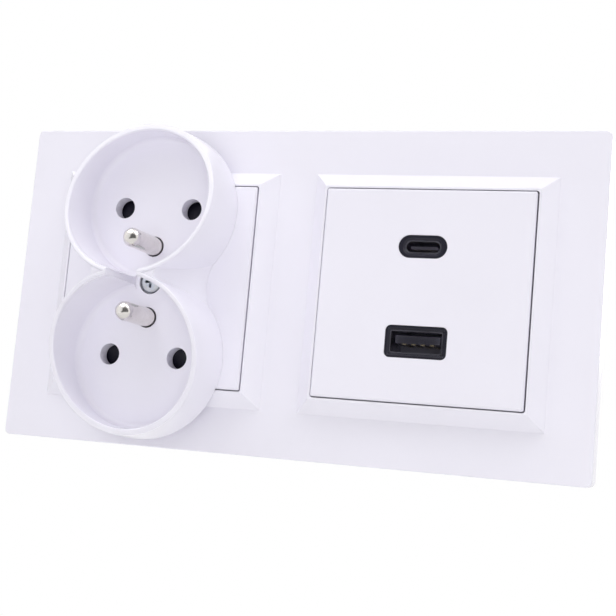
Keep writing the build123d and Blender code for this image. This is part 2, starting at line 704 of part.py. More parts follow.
with BuildPart() as socket_terminal_screws:
    for place_x, place_z in terminal_places:
        terminal_face = back_plane(-terminal_back, socket_x + place_x, place_z)
        screw(terminal_face, TERMINAL_SCREW_R, TERMINAL_BITE, TERMINAL_HEAD_R, TERMINAL_HEAD)
save(socket_terminal_screws, "socket_terminal_screws")

# Mounting brackets with their screws and spreading claws, alike in both gangs
for gang, gang_x in gang_centres.items():
    with BuildPart() as bracket:
        with BuildSketch(room_plane(0, gang_x)):
            Rectangle(bracket_width, bracket_height)
            chamfer(vertices(), BRACKET_CORNER)
            with GridLocations(0, 2 * box_screw_z, 1, 2):
                SlotOverall(BOX_SLOT_LENGTH, 2 * BOX_SLOT_R, mode=Mode.SUBTRACT)
            with GridLocations(2 * side_slot_x, 0, 2, 1):
                SlotOverall(SIDE_SLOT_LENGTH, 2 * BOX_SLOT_R, mode=Mode.SUBTRACT)
            with GridLocations(2 * claw_screw_x, 0, 2, 1):
                Circle(CLAW_SCREW_R + FIT_GAP, mode=Mode.SUBTRACT)
            with GridLocations(0, 2 * ear_z, 1, 2):
                Circle(BRACKET_SCREW_R + FIT_GAP, mode=Mode.SUBTRACT)
        extrude(amount=BRACKET_SHEET)
        with BuildSketch(room_plane(0, gang_x)):
            mechanism_outline(-BRACKET_GAP)
        extrude(amount=BRACKET_SHEET, mode=Mode.SUBTRACT)
        for ear_side in (-1, 1):
            with BuildSketch(back_plane(BRACKET_SHEET, gang_x, ear_side * ear_z)):
                Circle(BRACKET_SCREW_HEAD_R + FIT_GAP)
            extrude(amount=BRACKET_SCREW_HEAD_R - BRACKET_SCREW_R, taper=BEVEL_ANGLE, mode=Mode.SUBTRACT)
        for lug_z in (lug_inner, -lug_inner - LUG_SHEET):
            with BuildSketch(Plane.XY.offset(lug_z)):
                with Locations((gang_x - claw_x, CLAW_DEPTH), (gang_x + claw_x, CLAW_DEPTH)):
                    Circle(CLAW_EYE_R)
                with Locations((gang_x - claw_x, CLAW_DEPTH / 2), (gang_x + claw_x, CLAW_DEPTH / 2)):
                    Rectangle(2 * CLAW_EYE_R, CLAW_DEPTH)
                with Locations((gang_x - claw_x, CLAW_DEPTH), (gang_x + claw_x, CLAW_DEPTH)):
                    Circle(CLAW_PIN_R + FIT_GAP, mode=Mode.SUBTRACT)
            extrude(amount=LUG_SHEET)
    save(bracket, f"{gang}_bracket")

    with BuildPart() as bracket_screws:
        for ear_side in (-1, 1):
            screw_place = room_plane(BRACKET_SHEET, gang_x, ear_side * ear_z)
            flat_screw(screw_place, BRACKET_SCREW_R, BRACKET_SCREW_LENGTH, BRACKET_SCREW_HEAD_R)
    save(bracket_screws, f"{gang}_bracket_screws")

    with BuildPart() as claw_screws:
        for claw_side in (-1, 1):
            screw_place = room_plane(BRACKET_SHEET, gang_x + claw_side * claw_screw_x)
            claw_shank = BRACKET_SHEET + CLAW_SCREW_TIP
            screw(screw_place, CLAW_SCREW_R, claw_shank, CLAW_SCREW_HEAD_R, CLAW_SCREW_HEAD)
    save(claw_screws, f"{gang}_claw_screws")

    with BuildPart() as claw_pins:
        with BuildSketch(Plane.XY.offset(-lug_inner - LUG_SHEET)):
            with Locations((gang_x - claw_x, CLAW_DEPTH), (gang_x + claw_x, CLAW_DEPTH)):
                Circle(CLAW_PIN_R)
        extrude(amount=2 * (lug_inner + LUG_SHEET))
    save(claw_pins, f"{gang}_claw_pins")

    for name, claw_side in (("left", -1), ("right", 1)):
        pivot_x = gang_x + claw_side * claw_x
        leg_x = pivot_x + claw_side * (CLAW_EYE_R - CLAW_SHEET / 2)
        foot_x = pivot_x + claw_side * CLAW_EYE_R
        toe_x = foot_x + claw_side * CLAW_FOOT
        foot_y = CLAW_DEPTH + CLAW_LENGTH
        with BuildPart() as claw:
            with BuildSketch(Plane.XY.offset(-CLAW_WIDTH / 2)):
                with Locations((pivot_x, CLAW_DEPTH)):
                    Circle(CLAW_EYE_R)
                with Locations((leg_x, CLAW_DEPTH + CLAW_LENGTH / 2)):
                    Rectangle(CLAW_SHEET, CLAW_LENGTH)
                with Locations((pivot_x - claw_side * CLAW_TAB / 2, CLAW_SCREW_TIP + PLAY + CLAW_SHEET / 2)):
                    Rectangle(CLAW_TAB, CLAW_SHEET)
                with BuildLine():
                    Polyline(
                        (foot_x - claw_side * CLAW_SHEET, foot_y),
                        (toe_x, foot_y + CLAW_FOOT_DROP),
                        (toe_x, foot_y + CLAW_FOOT_DROP - CLAW_SHEET),
                        (foot_x, foot_y - CLAW_SHEET),
                        close=True,
                    )
                make_face()
                with Locations((pivot_x, CLAW_DEPTH)):
                    Circle(CLAW_PIN_R + FIT_GAP, mode=Mode.SUBTRACT)
            extrude(amount=CLAW_WIDTH)
            with BuildSketch(room_plane(-foot_y - CLAW_FOOT_DROP, toe_x)):
                with GridLocations(0, CLAW_WIDTH / CLAW_TEETH, 1, CLAW_TEETH + 1):
                    Rectangle(CLAW_TOOTH, CLAW_TOOTH, rotation=TOOTH_ANGLE)
            extrude(amount=CLAW_FOOT_DROP + CLAW_SHEET, mode=Mode.SUBTRACT)
        save(claw, f"{gang}_{name}_claw")

# Charger cover with an opening for each port and four clips behind
with BuildPart() as usb_cover:
    insert_plate(usb_plane(FACE_HEIGHT))
    with BuildSketch(usb_plane(FACE_HEIGHT)):
        Rectangle(hollow_size, hollow_size)
    extrude(amount=INSERT_RISE - INSERT_WALL, mode=Mode.SUBTRACT)
    with BuildSketch(usb_plane(clip_end)):
        with GridLocations(CLIP_SPREAD, 2 * clip_z, 2, 2):
            Rectangle(CLIP_WIDTH, CLIP_SHEET)
    extrude(amount=insert_face - INSERT_WALL - clip_end)
    with BuildSketch(usb_plane(clip_end)):
        with GridLocations(CLIP_SPREAD, 2 * (clip_z - CLIP_BARB / 2), 2, 2):
            Rectangle(CLIP_WIDTH, CLIP_SHEET + CLIP_BARB)
    extrude(amount=CLIP_BARB)
    with BuildSketch(usb_plane(FACE_HEIGHT)):
        with Locations((PORT_X, PORT_C_Z)):
            SlotOverall(PORT_C_WIDTH + 2 * FIT_GAP, PORT_C_HEIGHT + 2 * FIT_GAP)
        with Locations((PORT_X, PORT_A_Z)):
            RectangleRounded(
                PORT_A_WIDTH + 2 * FIT_GAP, PORT_A_HEIGHT + 2 * FIT_GAP, PORT_A_CORNER + FIT_GAP
            )
    extrude(amount=INSERT_RISE, mode=Mode.SUBTRACT)
save(usb_cover, "usb_cover")

# Round-ended port: black bezel, steel shell and the tongue that carries its contacts
with BuildPart() as usb_c_bezel:
    with BuildSketch(usb_plane(port_back, PORT_X, PORT_C_Z)):
        SlotOverall(PORT_C_WIDTH, PORT_C_HEIGHT)
        SlotOverall(SHELL_C_WIDTH + 2 * FIT_GAP, SHELL_C_HEIGHT + 2 * FIT_GAP, mode=Mode.SUBTRACT)
    extrude(amount=PORT_DEPTH)
    with BuildSketch(usb_plane(port_front - PORT_LEAD, PORT_X, PORT_C_Z)):
        SlotOverall(SHELL_C_WIDTH + 2 * FIT_GAP, SHELL_C_HEIGHT + 2 * FIT_GAP)
    extrude(amount=PORT_LEAD, taper=-BEVEL_ANGLE, mode=Mode.SUBTRACT)
save(usb_c_bezel, "usb_c_bezel")

with BuildPart() as usb_c_shell:
    with BuildSketch(usb_plane(board_front, PORT_X, PORT_C_Z)):
        SlotOverall(SHELL_C_WIDTH, SHELL_C_HEIGHT)
        SlotOverall(SHELL_C_WIDTH - 2 * SHELL_SHEET, SHELL_C_HEIGHT - 2 * SHELL_SHEET, mode=Mode.SUBTRACT)
    extrude(amount=shell_front - board_front)
save(usb_c_shell, "usb_c_shell")

with BuildPart() as usb_c_tongue:
    with BuildSketch(usb_plane(board_front, PORT_X, PORT_C_Z)):
        SlotOverall(shell_c_inner, SHELL_C_HEIGHT - 2 * SHELL_SHEET - 2 * FIT_GAP)
    extrude(amount=PORT_BLOCK)
    with BuildSketch(usb_plane(board_front, PORT_X, PORT_C_Z)):
        RectangleRounded(TONGUE_C_WIDTH, TONGUE_C_HEIGHT, TONGUE_C_ROUND)
    extrude(amount=shell_front - TONGUE_C_SINK - board_front)
save(usb_c_tongue, "usb_c_tongue")

# Rectangular port, built the same way with its contact blades under the tongue
with BuildPart() as usb_a_bezel:
    with BuildSketch(usb_plane(port_back, PORT_X, PORT_A_Z)):
        RectangleRounded(PORT_A_WIDTH, PORT_A_HEIGHT, PORT_A_CORNER)
        Rectangle(SHELL_A_WIDTH + 2 * FIT_GAP, SHELL_A_HEIGHT + 2 * FIT_GAP, mode=Mode.SUBTRACT)
    extrude(amount=PORT_DEPTH)
    with BuildSketch(usb_plane(port_front - PORT_LEAD, PORT_X, PORT_A_Z)):
        Rectangle(SHELL_A_WIDTH + 2 * FIT_GAP, SHELL_A_HEIGHT + 2 * FIT_GAP)
    extrude(amount=PORT_LEAD, taper=-BEVEL_ANGLE, mode=Mode.SUBTRACT)
save(usb_a_bezel, "usb_a_bezel")

with BuildPart() as usb_a_shell:
    with BuildSketch(usb_plane(board_front, PORT_X, PORT_A_Z)):
        RectangleRounded(SHELL_A_WIDTH, SHELL_A_HEIGHT, SHELL_A_CORNER)
        RectangleRounded(
            SHELL_A_WIDTH - 2 * SHELL_SHEET,
            SHELL_A_HEIGHT - 2 * SHELL_SHEET,
            SHELL_A_CORNER - SHELL_SHEET,
            mode=Mode.SUBTRACT,
        )
    extrude(amount=shell_front - board_front)
save(usb_a_shell, "usb_a_shell")

with BuildPart() as usb_a_tongue:
    with BuildSketch(usb_plane(board_front, PORT_X, PORT_A_Z)):
        RectangleRounded(
            SHELL_A_WIDTH - 2 * SHELL_SHEET - 2 * FIT_GAP,
            SHELL_A_HEIGHT - 2 * SHELL_SHEET - 2 * FIT_GAP,
            SHELL_A_CORNER - SHELL_SHEET,
        )
    extrude(amount=PORT_BLOCK)
    with BuildSketch(usb_plane(board_front, PORT_X, PORT_A_Z + TONGUE_A_RISE)):
        Rectangle(TONGUE_A_WIDTH, TONGUE_A_HEIGHT)
    extrude(amount=tongue_a_front - board_front)
save(usb_a_tongue, "usb_a_tongue")

with BuildPart() as usb_a_contacts:
    with BuildSketch(usb_plane(board_front + PORT_BLOCK, PORT_X, blade_z)):
        with GridLocations(BLADE_PITCH, 0, BLADE_COUNT, 1):
            Rectangle(BLADE_WIDTH, BLADE_THICKNESS)
    extrude(amount=tongue_a_front - BLADE_SINK - board_front - PORT_BLOCK)
save(usb_a_contacts, "usb_a_contacts")

# Carrier plate that closes the charger's housing and takes the cover's clips
with BuildPart() as usb_carrier:
    with BuildSketch(usb_plane(carrier_back)):
        mechanism_outline(PLAY)
        with GridLocations(CLIP_SPREAD, mechanism_height, 2, 2):
            Rectangle(CLIP_WIDTH + 2 * PLAY, 2 * CLIP_NOTCH, mode=Mode.SUBTRACT)
        with Locations((PORT_X, PORT_C_Z)):
            SlotOverall(SHELL_C_WIDTH + 2 * PLAY, SHELL_C_HEIGHT + 2 * PLAY, mode=Mode.SUBTRACT)
        with Locations((PORT_X, PORT_A_Z)):
            Rectangle(SHELL_A_WIDTH + 2 * PLAY, SHELL_A_HEIGHT + 2 * PLAY, mode=Mode.SUBTRACT)
    extrude(amount=CARRIER_PLATE)
save(usb_carrier, "usb_carrier")

# Charger housing: a box with ears for the bracket, posts for the board and vents at the back
with BuildPart() as usb_housing:
    with BuildSketch(usb_plane(-HOUSING_DEPTH)):
        mechanism_outline(HOUSING_INSET)
    extrude(amount=carrier_back + HOUSING_DEPTH)
    with BuildSketch(usb_plane(-EAR_DEPTH)):
        Rectangle(EAR_WIDTH, mechanism_height + 2 * EAR_REACH)
    extrude(amount=EAR_DEPTH)
    with BuildSketch(usb_plane(-HOUSING_DEPTH + HOUSING_WALL)):
        mechanism_outline(HOUSING_INSET + HOUSING_WALL)
    extrude(amount=carrier_back + HOUSING_DEPTH - HOUSING_WALL, mode=Mode.SUBTRACT)
    with BuildSketch(usb_plane(-HOUSING_DEPTH + HOUSING_WALL)):
        with GridLocations(board_width - POST_SIZE, board_height - 2 * POST_INSET, 2, 2):
            Rectangle(POST_SIZE, POST_SIZE)
    extrude(amount=BOARD_BACK + HOUSING_DEPTH - HOUSING_WALL)
    with BuildSketch(usb_plane(-HOUSING_DEPTH)):
        with Locations((0, block_z)):
            Rectangle(BLOCK_WIDTH + 2 * FIT_GAP, BLOCK_HEIGHT + 2 * FIT_GAP)
        with Locations((0, VENT_Z)):
            with GridLocations(0, VENT_PITCH, 1, VENT_COUNT):
                SlotOverall(VENT_LENGTH, VENT_WIDTH)
    extrude(amount=HOUSING_WALL, mode=Mode.SUBTRACT)
    with BuildSketch(usb_plane(-EAR_DEPTH)):
        with GridLocations(0, 2 * ear_z, 1, 2):
            Circle(BRACKET_SCREW_R + FIT_GAP)
    extrude(amount=EAR_DEPTH, mode=Mode.SUBTRACT)
save(usb_housing, "usb_housing")

# Circuit board with the transformer and capacitors behind it
with BuildPart() as charger_board:
    with BuildSketch(usb_plane(BOARD_BACK)):
        Rectangle(board_width, board_height)
        chamfer(vertices(), BOARD_CORNER)
    extrude(amount=BOARD_THICKNESS)
save(charger_board, "charger_board")

with BuildPart() as transformer_core:
    with BuildSketch(Plane.XY.offset(CORE_Z - CORE_STACK / 2)):
        with Locations((usb_x, -BOARD_BACK + CORE_DEPTH / 2)):
            Rectangle(CORE_WIDTH, CORE_DEPTH)
            with GridLocations(core_window + CORE_LIMB, 0, 2, 1):
                Rectangle(core_window, CORE_DEPTH - 2 * CORE_YOKE, mode=Mode.SUBTRACT)
    extrude(amount=CORE_STACK)
save(transformer_core, "transformer_core")

with BuildPart() as transformer_coil:
    with BuildSketch(usb_plane(BOARD_BACK - CORE_DEPTH + CORE_YOKE + FIT_GAP, 0, CORE_Z)):
        RectangleRounded(coil_width, CORE_STACK + 2 * (core_window - COIL_MARGIN), COIL_ROUND)
        Rectangle(CORE_LIMB + 2 * FIT_GAP, CORE_STACK + 2 * FIT_GAP, mode=Mode.SUBTRACT)
    extrude(amount=CORE_DEPTH - 2 * CORE_YOKE - 2 * FIT_GAP)
save(transformer_coil, "transformer_coil")

with BuildPart() as capacitors:
    with BuildSketch(usb_plane(BOARD_BACK - capacitor_length, 0, CAPACITOR_Z)):
        with GridLocations(CAPACITOR_PITCH, 0, CAPACITOR_COUNT, 1):
            Circle(CAPACITOR_R)
    extrude(amount=capacitor_length)
    fillet(edges().group_by(Axis.Y)[-1], CAPACITOR_ROUND)
save(capacitors, "capacitors")

# Mains terminal block that stands out of the housing's back
with BuildPart() as usb_terminal_block:
    with BuildSketch(usb_plane(block_back, 0, block_z)):
        Rectangle(BLOCK_WIDTH, BLOCK_HEIGHT)
    extrude(amount=BLOCK_DEPTH)
    with BuildSketch(usb_plane(block_back, 0, block_z + BLOCK_ROW / 2)):
        with GridLocations(BLOCK_PITCH, 0, 2, 1):
            Circle(TERMINAL_HEAD_R + PLAY)
    extrude(amount=TERMINAL_HEAD, mode=Mode.SUBTRACT)
    with BuildSketch(usb_plane(block_back, 0, block_z + BLOCK_ROW / 2)):
        with GridLocations(BLOCK_PITCH, 0, 2, 1):
            Circle(TERMINAL_SCREW_R + FIT_GAP)
    extrude(amount=TERMINAL_HEAD + TERMINAL_BITE + PLAY, mode=Mode.SUBTRACT)
    with BuildSketch(usb_plane(block_back, 0, block_z - BLOCK_ROW / 2)):
        with GridLocations(BLOCK_PITCH, 0, 2, 1):
            Circle(WIRE_R)
    extrude(amount=BLOCK_DEPTH / 2, mode=Mode.SUBTRACT)
save(usb_terminal_block, "usb_terminal_block")

with BuildPart() as usb_terminal_screws:
    for screw_side in (-1, 1):
        screw_x = usb_x + screw_side * BLOCK_PITCH / 2
        terminal_face = back_plane(block_back + TERMINAL_HEAD, screw_x, block_z + BLOCK_ROW / 2)
        screw(terminal_face, TERMINAL_SCREW_R, TERMINAL_BITE, TERMINAL_HEAD_R, TERMINAL_HEAD)
save(usb_terminal_screws, "usb_terminal_screws")
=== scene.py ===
# %% [markdown]
# # A wall outlet with a double socket and a two-port charger
#
# The real outlet is a white moulded frame that covers two wall boxes. Its solids are already made, in
# metres, with the wall in the plane y = 0 and the room towards -Y. They could be modelled a second time
# here, but two models drift apart, so this lesson loads the solids as they are and adds finishes, fine
# pieces and light.

# %% Load the solids
import json
import math

import bmesh
import bpy
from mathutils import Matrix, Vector


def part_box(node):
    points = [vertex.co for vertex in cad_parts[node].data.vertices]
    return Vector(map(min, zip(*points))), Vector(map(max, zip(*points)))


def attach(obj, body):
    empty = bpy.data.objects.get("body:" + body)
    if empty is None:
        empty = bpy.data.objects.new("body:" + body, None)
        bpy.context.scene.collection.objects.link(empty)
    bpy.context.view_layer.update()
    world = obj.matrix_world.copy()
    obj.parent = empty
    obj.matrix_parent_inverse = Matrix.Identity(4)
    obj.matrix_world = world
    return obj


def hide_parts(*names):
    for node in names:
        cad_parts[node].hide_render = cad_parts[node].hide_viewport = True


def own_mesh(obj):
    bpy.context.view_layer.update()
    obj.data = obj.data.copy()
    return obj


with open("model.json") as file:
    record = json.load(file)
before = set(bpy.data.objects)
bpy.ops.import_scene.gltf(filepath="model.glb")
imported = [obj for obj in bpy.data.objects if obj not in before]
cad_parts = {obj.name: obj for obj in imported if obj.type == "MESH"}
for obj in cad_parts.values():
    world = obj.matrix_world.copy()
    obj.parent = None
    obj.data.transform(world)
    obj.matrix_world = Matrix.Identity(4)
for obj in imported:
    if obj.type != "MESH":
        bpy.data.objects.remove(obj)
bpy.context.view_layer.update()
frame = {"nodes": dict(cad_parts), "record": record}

solids = frame["nodes"]
scene = bpy.context.scene


# %% [markdown]
# ## The camera
#
# The photograph was taken close to the outlet, from its right and a little below its middle, so the
# plate's edges run together towards the left. The view could be matched by eye, but the corners of the
# frame and the contact holes give the place, the tilt and the lens by calculation, and those numbers are
# used here.

# %% Camera at the photograph's place
SENSOR_MM = 36.0
LENS_MM = 68.96
CAMERA_PLACE = (0.100063, -0.288529, -0.038096)
CAMERA_TURN = (96.6311, -5.0687, 18.0673)

camera = bpy.data.objects.new("camera", bpy.data.cameras.new("camera"))
camera.data.sensor_width = SENSOR_MM
camera.data.lens = LENS_MM
camera.location = CAMERA_PLACE
camera.rotation_euler = [math.radians(angle) for angle in CAMERA_TURN]
scene.collection.objects.link(camera)
scene.camera = camera
scene.view_settings.view_transform = "Standard"
print("camera", round(Vector(CAMERA_PLACE).length, 3), "m from the outlet's middle")

# %% [markdown]
# ## A short way to write nodes
#
# Every finish below is a small graph of nodes. Writing each node with its links takes many lines, so one
# helper adds a node, sets its options, and either links or fills its inputs, whichever it is given. The
# other helpers use it for the steps that come up most. A Mix node has sockets for every kind of value, so
# its colour sockets are picked by their numbers.

# %% Helpers for nodes
MIX_SHARE = 0
MIX_FIRST = 6
MIX_SECOND = 7
MIX_RESULT = 2


def put(tree, kind, inputs=None, **options):
    """Adds one shader node; an input that is given a socket is linked, and any other value is set."""
    node = tree.nodes.new("ShaderNode" + kind)
    for name, value in options.items():
        setattr(node, name, value)
    for name, value in (inputs or {}).items():
        if isinstance(value, bpy.types.NodeSocket):
            tree.links.new(value, node.inputs[name])
        else:
            node.inputs[name].default_value = value
    return node


def maths(tree, operation, first, second):
    """One step of arithmetic, as a socket."""
    return put(tree, "Math", {0: first, 1: second}, operation=operation).outputs[0]


def spread(tree, value, low, high, start=0.0, end=1.0):
    """Stretches a value that runs from start to end so that it runs from low to high, as a socket."""
    ends = {"Value": value, "From Min": start, "From Max": end, "To Min": low, "To Max": high}
    return put(tree, "MapRange", ends).outputs["Result"]


def mask(tree, value, start, end):
    """Rises from 0 to 1 while a value runs from start to end, as a socket."""
    return spread(tree, value, 0.0, 1.0, start, end)


def blend_colours(tree, share, first, second, kind="MIX"):
    """Mixes two colours, as a socket."""
    inputs = {MIX_SHARE: share, MIX_FIRST: first, MIX_SECOND: second}
    return put(tree, "Mix", inputs, data_type="RGBA", blend_type=kind).outputs[MIX_RESULT]


print("node helpers ready")

# %% [markdown]
# ## The studio
#
# The photograph has a pure white ground and soft light. A white backdrop that is lit until it burns out
# would also wash out the white plastic, so the ground is white only for what the camera and the shiny
# surfaces see, while the light that reaches the outlet stays at a plain level. Metal that sees nothing but
# white looks like chalk; in the photograph the round tips of the pins mirror the dark room behind the
# camera, so a dim patch hangs there, seen by shiny surfaces alone. It fades in between two cosines of the
# angle from the camera.

# %% White surroundings
WHITE = (1.0, 1.0, 1.0, 1.0)
AMBIENT = 0.44
CAMERA_DIM = 0.85
CAMERA_PATCH = (0.66, 0.80)

world = bpy.data.worlds.new("studio")
world.use_nodes = True
scene.world = world
air = world.node_tree
air.nodes.clear()
ray = put(air, "LightPath").outputs
seen = maths(air, "MAXIMUM", ray["Is Camera Ray"], ray["Is Glossy Ray"])
seen = maths(air, "MAXIMUM", seen, ray["Is Transmission Ray"])
look = put(air, "TexCoord").outputs["Generated"]
towards = Vector(CAMERA_PLACE).normalized()
nearness = put(air, "VectorMath", {0: look, 1: towards}, operation="DOT_PRODUCT").outputs["Value"]
patch = spread(air, nearness, 0.0, CAMERA_DIM, *CAMERA_PATCH)
dimmed = maths(air, "MULTIPLY", patch, ray["Is Glossy Ray"])
brightness = maths(air, "SUBTRACT", 1.0, dimmed)
ambient = put(air, "Background", {"Color": WHITE, "Strength": AMBIENT}).outputs[0]
ground = put(air, "Background", {"Color": WHITE, "Strength": brightness}).outputs[0]
either = put(air, "MixShader", {0: seen, 1: ambient, 2: ground}).outputs[0]
put(air, "OutputWorld", {"Surface": either})
print("surroundings light the outlet at", AMBIENT)

# %% [markdown]
# ## The floor
#
# The outlet hangs on a wall, so the floor lies well below it and only catches its soft shadow. A square
# sheet would show its edge in low views; a round one that fades to the white of the surroundings has no
# edge to see.

# %% Pale floor
FLOOR_LEVEL = -0.30
FLOOR_REACH = 1.2
FLOOR_SIDES = 96
FLOOR_FADE = (0.25 * FLOOR_REACH, 0.75 * FLOOR_REACH)
FLOOR_GREY = (0.88, 0.88, 0.88, 1.0)

floor_mesh = bpy.data.meshes.new("floor")
disc = bmesh.new()
bmesh.ops.create_circle(disc, cap_ends=True, radius=FLOOR_REACH, segments=FLOOR_SIDES)
disc.to_mesh(floor_mesh)
disc.free()
floor = bpy.data.objects.new("floor", floor_mesh)
floor.location = (0.0, 0.0, FLOOR_LEVEL)
scene.collection.objects.link(floor)

pale = bpy.data.materials.new("pale_floor")
pale.use_nodes = True
tree = pale.node_tree
tree.nodes.clear()
where = put(tree, "TexCoord").outputs["Object"]
away = put(tree, "VectorMath", {0: where}, operation="LENGTH").outputs["Value"]
ray = put(tree, "LightPath").outputs
seen = maths(tree, "MAXIMUM", ray["Is Camera Ray"], ray["Is Glossy Ray"])
faded = maths(tree, "MULTIPLY", mask(tree, away, *FLOOR_FADE), seen)
paint = put(tree, "BsdfDiffuse", {"Color": FLOOR_GREY}).outputs[0]
ground = put(tree, "Emission", {"Color": WHITE, "Strength": 1.0}).outputs[0]
mixed = put(tree, "MixShader", {0: faded, 1: paint, 2: ground}).outputs[0]
put(tree, "OutputMaterial", {"Surface": mixed})
floor_mesh.materials.append(pale)
print("floor at z =", FLOOR_LEVEL, "m")

# %% [markdown]
# ## The lamps
#
# In the photograph the upward bevels are the brightest, the faces are even, the floors of the cups stay
# light and a soft shadow lies under the lower cup. One lamp could not do all of that: two large ones high
# on the left and on the right light the bevels and cast the shadow, a low one in front opens the cups, and
# one behind shows the mechanism to whoever looks there. All of them are large, because a small lamp would
# give hard shadows. The low one stands where the photograph mirrors a dark room, so shiny surfaces don't
# see it.

# %% Large soft lamps
LAMPS = {
    "high_right": {"place": (0.593, -0.216, 0.901), "size": 0.7, "watts": 4.0, "mirrored": True},
    "high_left": {"place": (-0.362, -0.517, 0.901), "size": 0.8, "watts": 4.2, "mirrored": True},
    "low_front": {"place": (0.226, -0.844, -0.218), "size": 0.6, "watts": 2.5, "mirrored": False},
    "behind": {"place": (0.300, 0.900, 0.450), "size": 0.8, "watts": 5.0, "mirrored": True},
}

for name, lamp in LAMPS.items():
    light = bpy.data.lights.new(name, "AREA")
    light.size = lamp["size"]
    light.energy = lamp["watts"]
    holder = bpy.data.objects.new(name, light)
    holder.location = lamp["place"]
    holder.visible_glossy = lamp["mirrored"]
    holder.rotation_euler = (-Vector(lamp["place"])).to_track_quat("-Z", "Y").to_euler()
    scene.collection.objects.link(holder)
    print("lamp", name, "of", lamp["watts"], "W at", lamp["place"])

# %% [markdown]
# ## Shared effects
#
# Several finishes need the same thing: the faint unevenness of a moulding, the small radius on every edge,
# the painted shade and painted light in corners, and the marks of rolled or plated metal. Each could be
# drawn again in every material, but then they would drift apart. Each is built once as a node group with
# named inputs, and each material uses it with its own values.

# %% Helpers for node groups
def start_group(name, inputs, outputs):
    """Makes a shader node group and returns it with its input and output sockets."""
    group = bpy.data.node_groups.new(name, "ShaderNodeTree")
    for label, value in inputs.items():
        socket = group.interface.new_socket(label, in_out="INPUT", socket_type="NodeSocketFloat")
        socket.default_value = value
    for label, kind in outputs.items():
        group.interface.new_socket(label, in_out="OUTPUT", socket_type="NodeSocket" + kind)
    entry = group.nodes.new("NodeGroupInput")
    end = group.nodes.new("NodeGroupOutput")
    return group, entry.outputs, end.inputs


def send(group, end, results):
    """Links the results of a group to its outputs."""
    for label, socket in results.items():
        group.links.new(socket, end[label])
    print("group", group.name, "gives", ", ".join(results))


print("group helpers ready")

# %% [markdown]
# ## Moulded skin
#
# Plastic from a mould isn't perfectly even: it carries the fine grain of the mould and a slow change of
# tone where it cooled unevenly, and hands polish it in places. A picture of a surface could carry all
# three, but noise in the solid's own coordinates has no seams and needs no unwrapping. A scale says how
# many clouds of noise fit in a metre.

# %% Group: moulded skin
COOLING_SCALE = 45.0
HANDLING_SCALE = 260.0
NOISE_MIDDLE = 0.5


def noise(tree, where, scale, detail):
    """Cloudy noise, as a socket."""
    return put(tree, "TexNoise", {"Vector": where, "Scale": scale, "Detail": detail}).outputs[0]


group, given, end = start_group(
    "moulded_skin",
    {"Grain Size": 0.001, "Tone Change": 0.03},
    {"Tone": "Float", "Gloss": "Float", "Height": "Float"},
)
where = put(group, "TexCoord").outputs["Object"]
grain = noise(group, where, maths(group, "DIVIDE", 1.0, given["Grain Size"]), detail=2.0)
cooling = noise(group, where, COOLING_SCALE, detail=1.0)
handling = noise(group, where, HANDLING_SCALE, detail=3.0)
swing = maths(group, "MULTIPLY", maths(group, "SUBTRACT", cooling, NOISE_MIDDLE), given["Tone Change"])
send(group, end, {"Tone": maths(group, "ADD", swing, 1.0), "Gloss": handling, "Height": grain})
moulded_skin = group

# %% [markdown]
# ## Soft edges
#
# No edge of a real moulding or pressing is perfectly sharp, and the bright line along an edge is what makes
# it look real. The edges could be cut into the mesh, but the solids stay as they are, so a Bevel node bends
# the shading across each edge. How well the bent direction agrees with the plain one, where 1 is fully,
# also tells where the edges are, which wear needs, and so does the painted highlight on the black plastic's
# edges.

# %% Group: soft edge
RAY_SAMPLES = 6
EDGE_AGREEMENT = (0.75, 0.995)

group, given, end = start_group("soft_edge", {"Radius": 0.0002}, {"Normal": "Vector", "Edge": "Float"})
rounded = put(group, "Bevel", {"Radius": given["Radius"]}, samples=RAY_SAMPLES).outputs["Normal"]
plain = put(group, "NewGeometry").outputs["Normal"]
agreement = put(group, "VectorMath", {0: rounded, 1: plain}, operation="DOT_PRODUCT").outputs["Value"]
send(group, end, {"Normal": rounded, "Edge": spread(group, agreement, 1.0, 0.0, *EDGE_AGREEMENT)})
soft_edge = group

# %% [markdown]
# ## Corners and gaps
#
# Shade and light are painted into corners, gaps and slots. Painted shade darkens the plastics, the screws
# and the sheet there, and painted light brightens the closed-in steel and the insides of the ports. Such
# places could be painted by hand, but an Ambient Occlusion node measures how closed in a point is, which
# marks exactly them.

# %% Group: closed corners
SHUT_TO_OPEN = (0.15, 0.85)

group, given, end = start_group("closed_corners", {"Reach": 0.002}, {"Open": "Float"})
openness = put(group, "AmbientOcclusion", {"Distance": given["Reach"]}, samples=RAY_SAMPLES).outputs["AO"]
send(group, end, {"Open": mask(group, openness, *SHUT_TO_OPEN)})
closed_corners = group

# %% [markdown]
# ## Zinc crystals
#
# Hot zinc freezes on sheet steel in flat crystals, each with its own shine. Noise gives clouds, not
# crystals; a Voronoi texture gives straight-sided cells, and its cell colour gives each one a tone of its
# own. A little noise shifts the cells, because real ones aren't quite straight, and feathers them.

# %% Group: zinc crystals
BEND_SCALE = 700.0
BEND_REACH = 0.0012
FEATHER_SCALE = 2600.0

group, given, end = start_group(
    "zinc_crystals",
    {"Crystal Size": 0.003},
    {"Tone": "Float", "Gloss": "Float", "Height": "Float"},
)
where = put(group, "TexCoord").outputs["Object"]
bend = put(group, "TexNoise", {"Vector": where, "Scale": BEND_SCALE, "Detail": 2.0}).outputs["Color"]
shift = put(group, "VectorMath", {0: bend, "Scale": BEND_REACH}, operation="SCALE").outputs["Vector"]
crooked = put(group, "VectorMath", {0: where, 1: shift}, operation="ADD").outputs["Vector"]
count = maths(group, "DIVIDE", 1.0, given["Crystal Size"])
cells = put(group, "TexVoronoi", {"Vector": crooked, "Scale": count}).outputs["Color"]
pick = put(group, "SeparateColor", {"Color": cells}).outputs
feather = noise(group, where, FEATHER_SCALE, detail=3.0)
send(group, end, {"Tone": pick[0], "Gloss": pick[1], "Height": feather})
zinc_crystals = group

